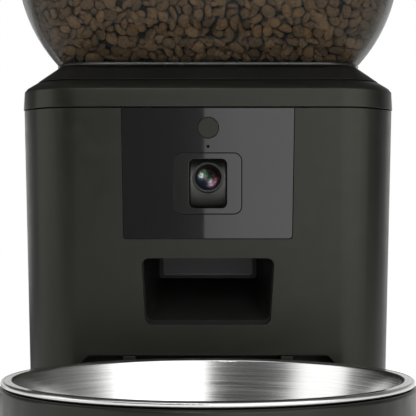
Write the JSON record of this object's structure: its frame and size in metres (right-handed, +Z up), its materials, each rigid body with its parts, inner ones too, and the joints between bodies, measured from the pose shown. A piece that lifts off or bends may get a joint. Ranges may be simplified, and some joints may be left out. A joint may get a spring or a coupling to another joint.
{
  "type": "automatic pet feeder",
  "caption": "Automatic pet feeder: rounded-square body with a tilting camera, a lift-off smoked food tank, a rotary dispenser and a docked steel bowl.",
  "frame": {"origin": "middle of the footprint on the floor", "axes": "+Z up; the bowl stands towards -Y and the body towards +Y; +X is to the right for a viewer who faces the camera"},
  "size_m": [0.197, 0.3792, 0.3599],
  "materials": {
    "body_matte": "fine moulded grain",
    "deep_black": "satin moulded",
    "gloss_black": "polished",
    "smoked_clear": "clear, smoked",
    "inner_grey": "moulded",
    "gear_white": "moulded",
    "board_green": "solder mask",
    "soft_rubber": "soft",
    "black_rubber": "soft",
    "bowl_steel": "brushed round the axis",
    "plain_steel": "plated",
    "bush_bronze": "sintered",
    "lens_glass": "coated",
    "pack_white": "nonwoven"
  },
  "bodies": {
    "housing": {"main_shell": "body_matte", "top_band": "body_matte", "base_plate": "deep_black", "rubber_feet": "soft_rubber", "base_screws": "plain_steel", "dock_housing": "deep_black", "front_panel": "gloss_black", "panel_carrier": "deep_black", "camera_bezel": "gloss_black", "camera_bracket": "deep_black", "front_board": "board_green", "button_switch": "deep_black", "microphone": "plain_steel", "infrared_leds": "deep_black", "chute": "deep_black", "chute_sensors": "deep_black", "hopper_deck": "body_matte", "deck_screws": "plain_steel", "outlet_shield": "deep_black", "shaft_bushes": "bush_bronze", "drive_bracket": "inner_grey", "bracket_screws": "plain_steel", "gear_motor": "plain_steel", "main_board": "board_green", "board_parts": "deep_black", "board_screws": "plain_steel", "power_inlet": "plain_steel", "speaker": "inner_grey", "speaker_grille": "deep_black"},
    "feed_button": {"feed_button": "body_matte"},
    "camera": {"camera_drum": "body_matte", "lens_barrel": "deep_black", "lens_glass": "lens_glass", "sensor_board": "board_green"},
    "rotor": {"drive_shaft": "plain_steel", "output_gear": "gear_white", "rotor": "inner_grey", "rotor_wipers": "black_rubber", "rotor_cap": "inner_grey"},
    "pinion": {"motor_pinion": "gear_white", "motor_shaft": "plain_steel"},
    "tank": {"tank_jar": "smoked_clear", "tank_skirt": "deep_black", "tank_seal": "soft_rubber", "tank_rim": "body_matte", "hinge_pin": "plain_steel"},
    "lid": {"lid_shell": "body_matte", "lid_liner": "deep_black", "lid_gasket": "soft_rubber", "lid_screws": "plain_steel", "desiccant_box": "deep_black", "desiccant_pack": "pack_white", "desiccant_cover": "deep_black"},
    "tray": {"bowl_tray": "body_matte", "tray_pads": "soft_rubber"},
    "bowl": {"steel_bowl": "bowl_steel"}
  },
  "joints": [
    {"name": "tank_lift", "type": "slide", "parent": "housing", "child": "tank", "axis": [0, 0, 1], "range_m": [0, 0.08]},
    {"name": "lid_hinge", "type": "hinge", "parent": "tank", "child": "lid", "pos_m": [0, 0.1854, 0.3445], "axis": [-1, 0, 0], "range_deg": [0, 100]},
    {"name": "rotor_spin", "type": "hinge", "parent": "housing", "child": "rotor", "pos_m": [0, 0.0859, 0.15], "axis": [0, 0, 1], "continuous": true},
    {"name": "pinion_spin", "type": "hinge", "parent": "housing", "child": "pinion", "pos_m": [0, 0.1149, 0.12], "axis": [0, 0, 1], "continuous": true},
    {"name": "camera_tilt", "type": "hinge", "parent": "housing", "child": "camera", "pos_m": [0, 0.00726, 0.14505], "axis": [1, 0, 0], "range_deg": [-4, 26]},
    {"name": "feed_press", "type": "slide", "parent": "housing", "child": "feed_button", "axis": [0, 0.9997, 0.0227], "range_m": [0, 0.0012], "stiffness_N_per_m": 600, "springref_m": -0.0005},
    {"name": "tray_slide", "type": "slide", "parent": "housing", "child": "tray", "axis": [0, -1, 0], "range_m": [0, 0.06]},
    {"name": "bowl_lift", "type": "slide", "parent": "tray", "child": "bowl", "axis": [0, 0, 1], "range_m": [0, 0.06]}
  ],
  "couplings": [
    {"joint": "pinion_spin", "follows": "rotor_spin", "ratio": -2.2222}
  ]
}
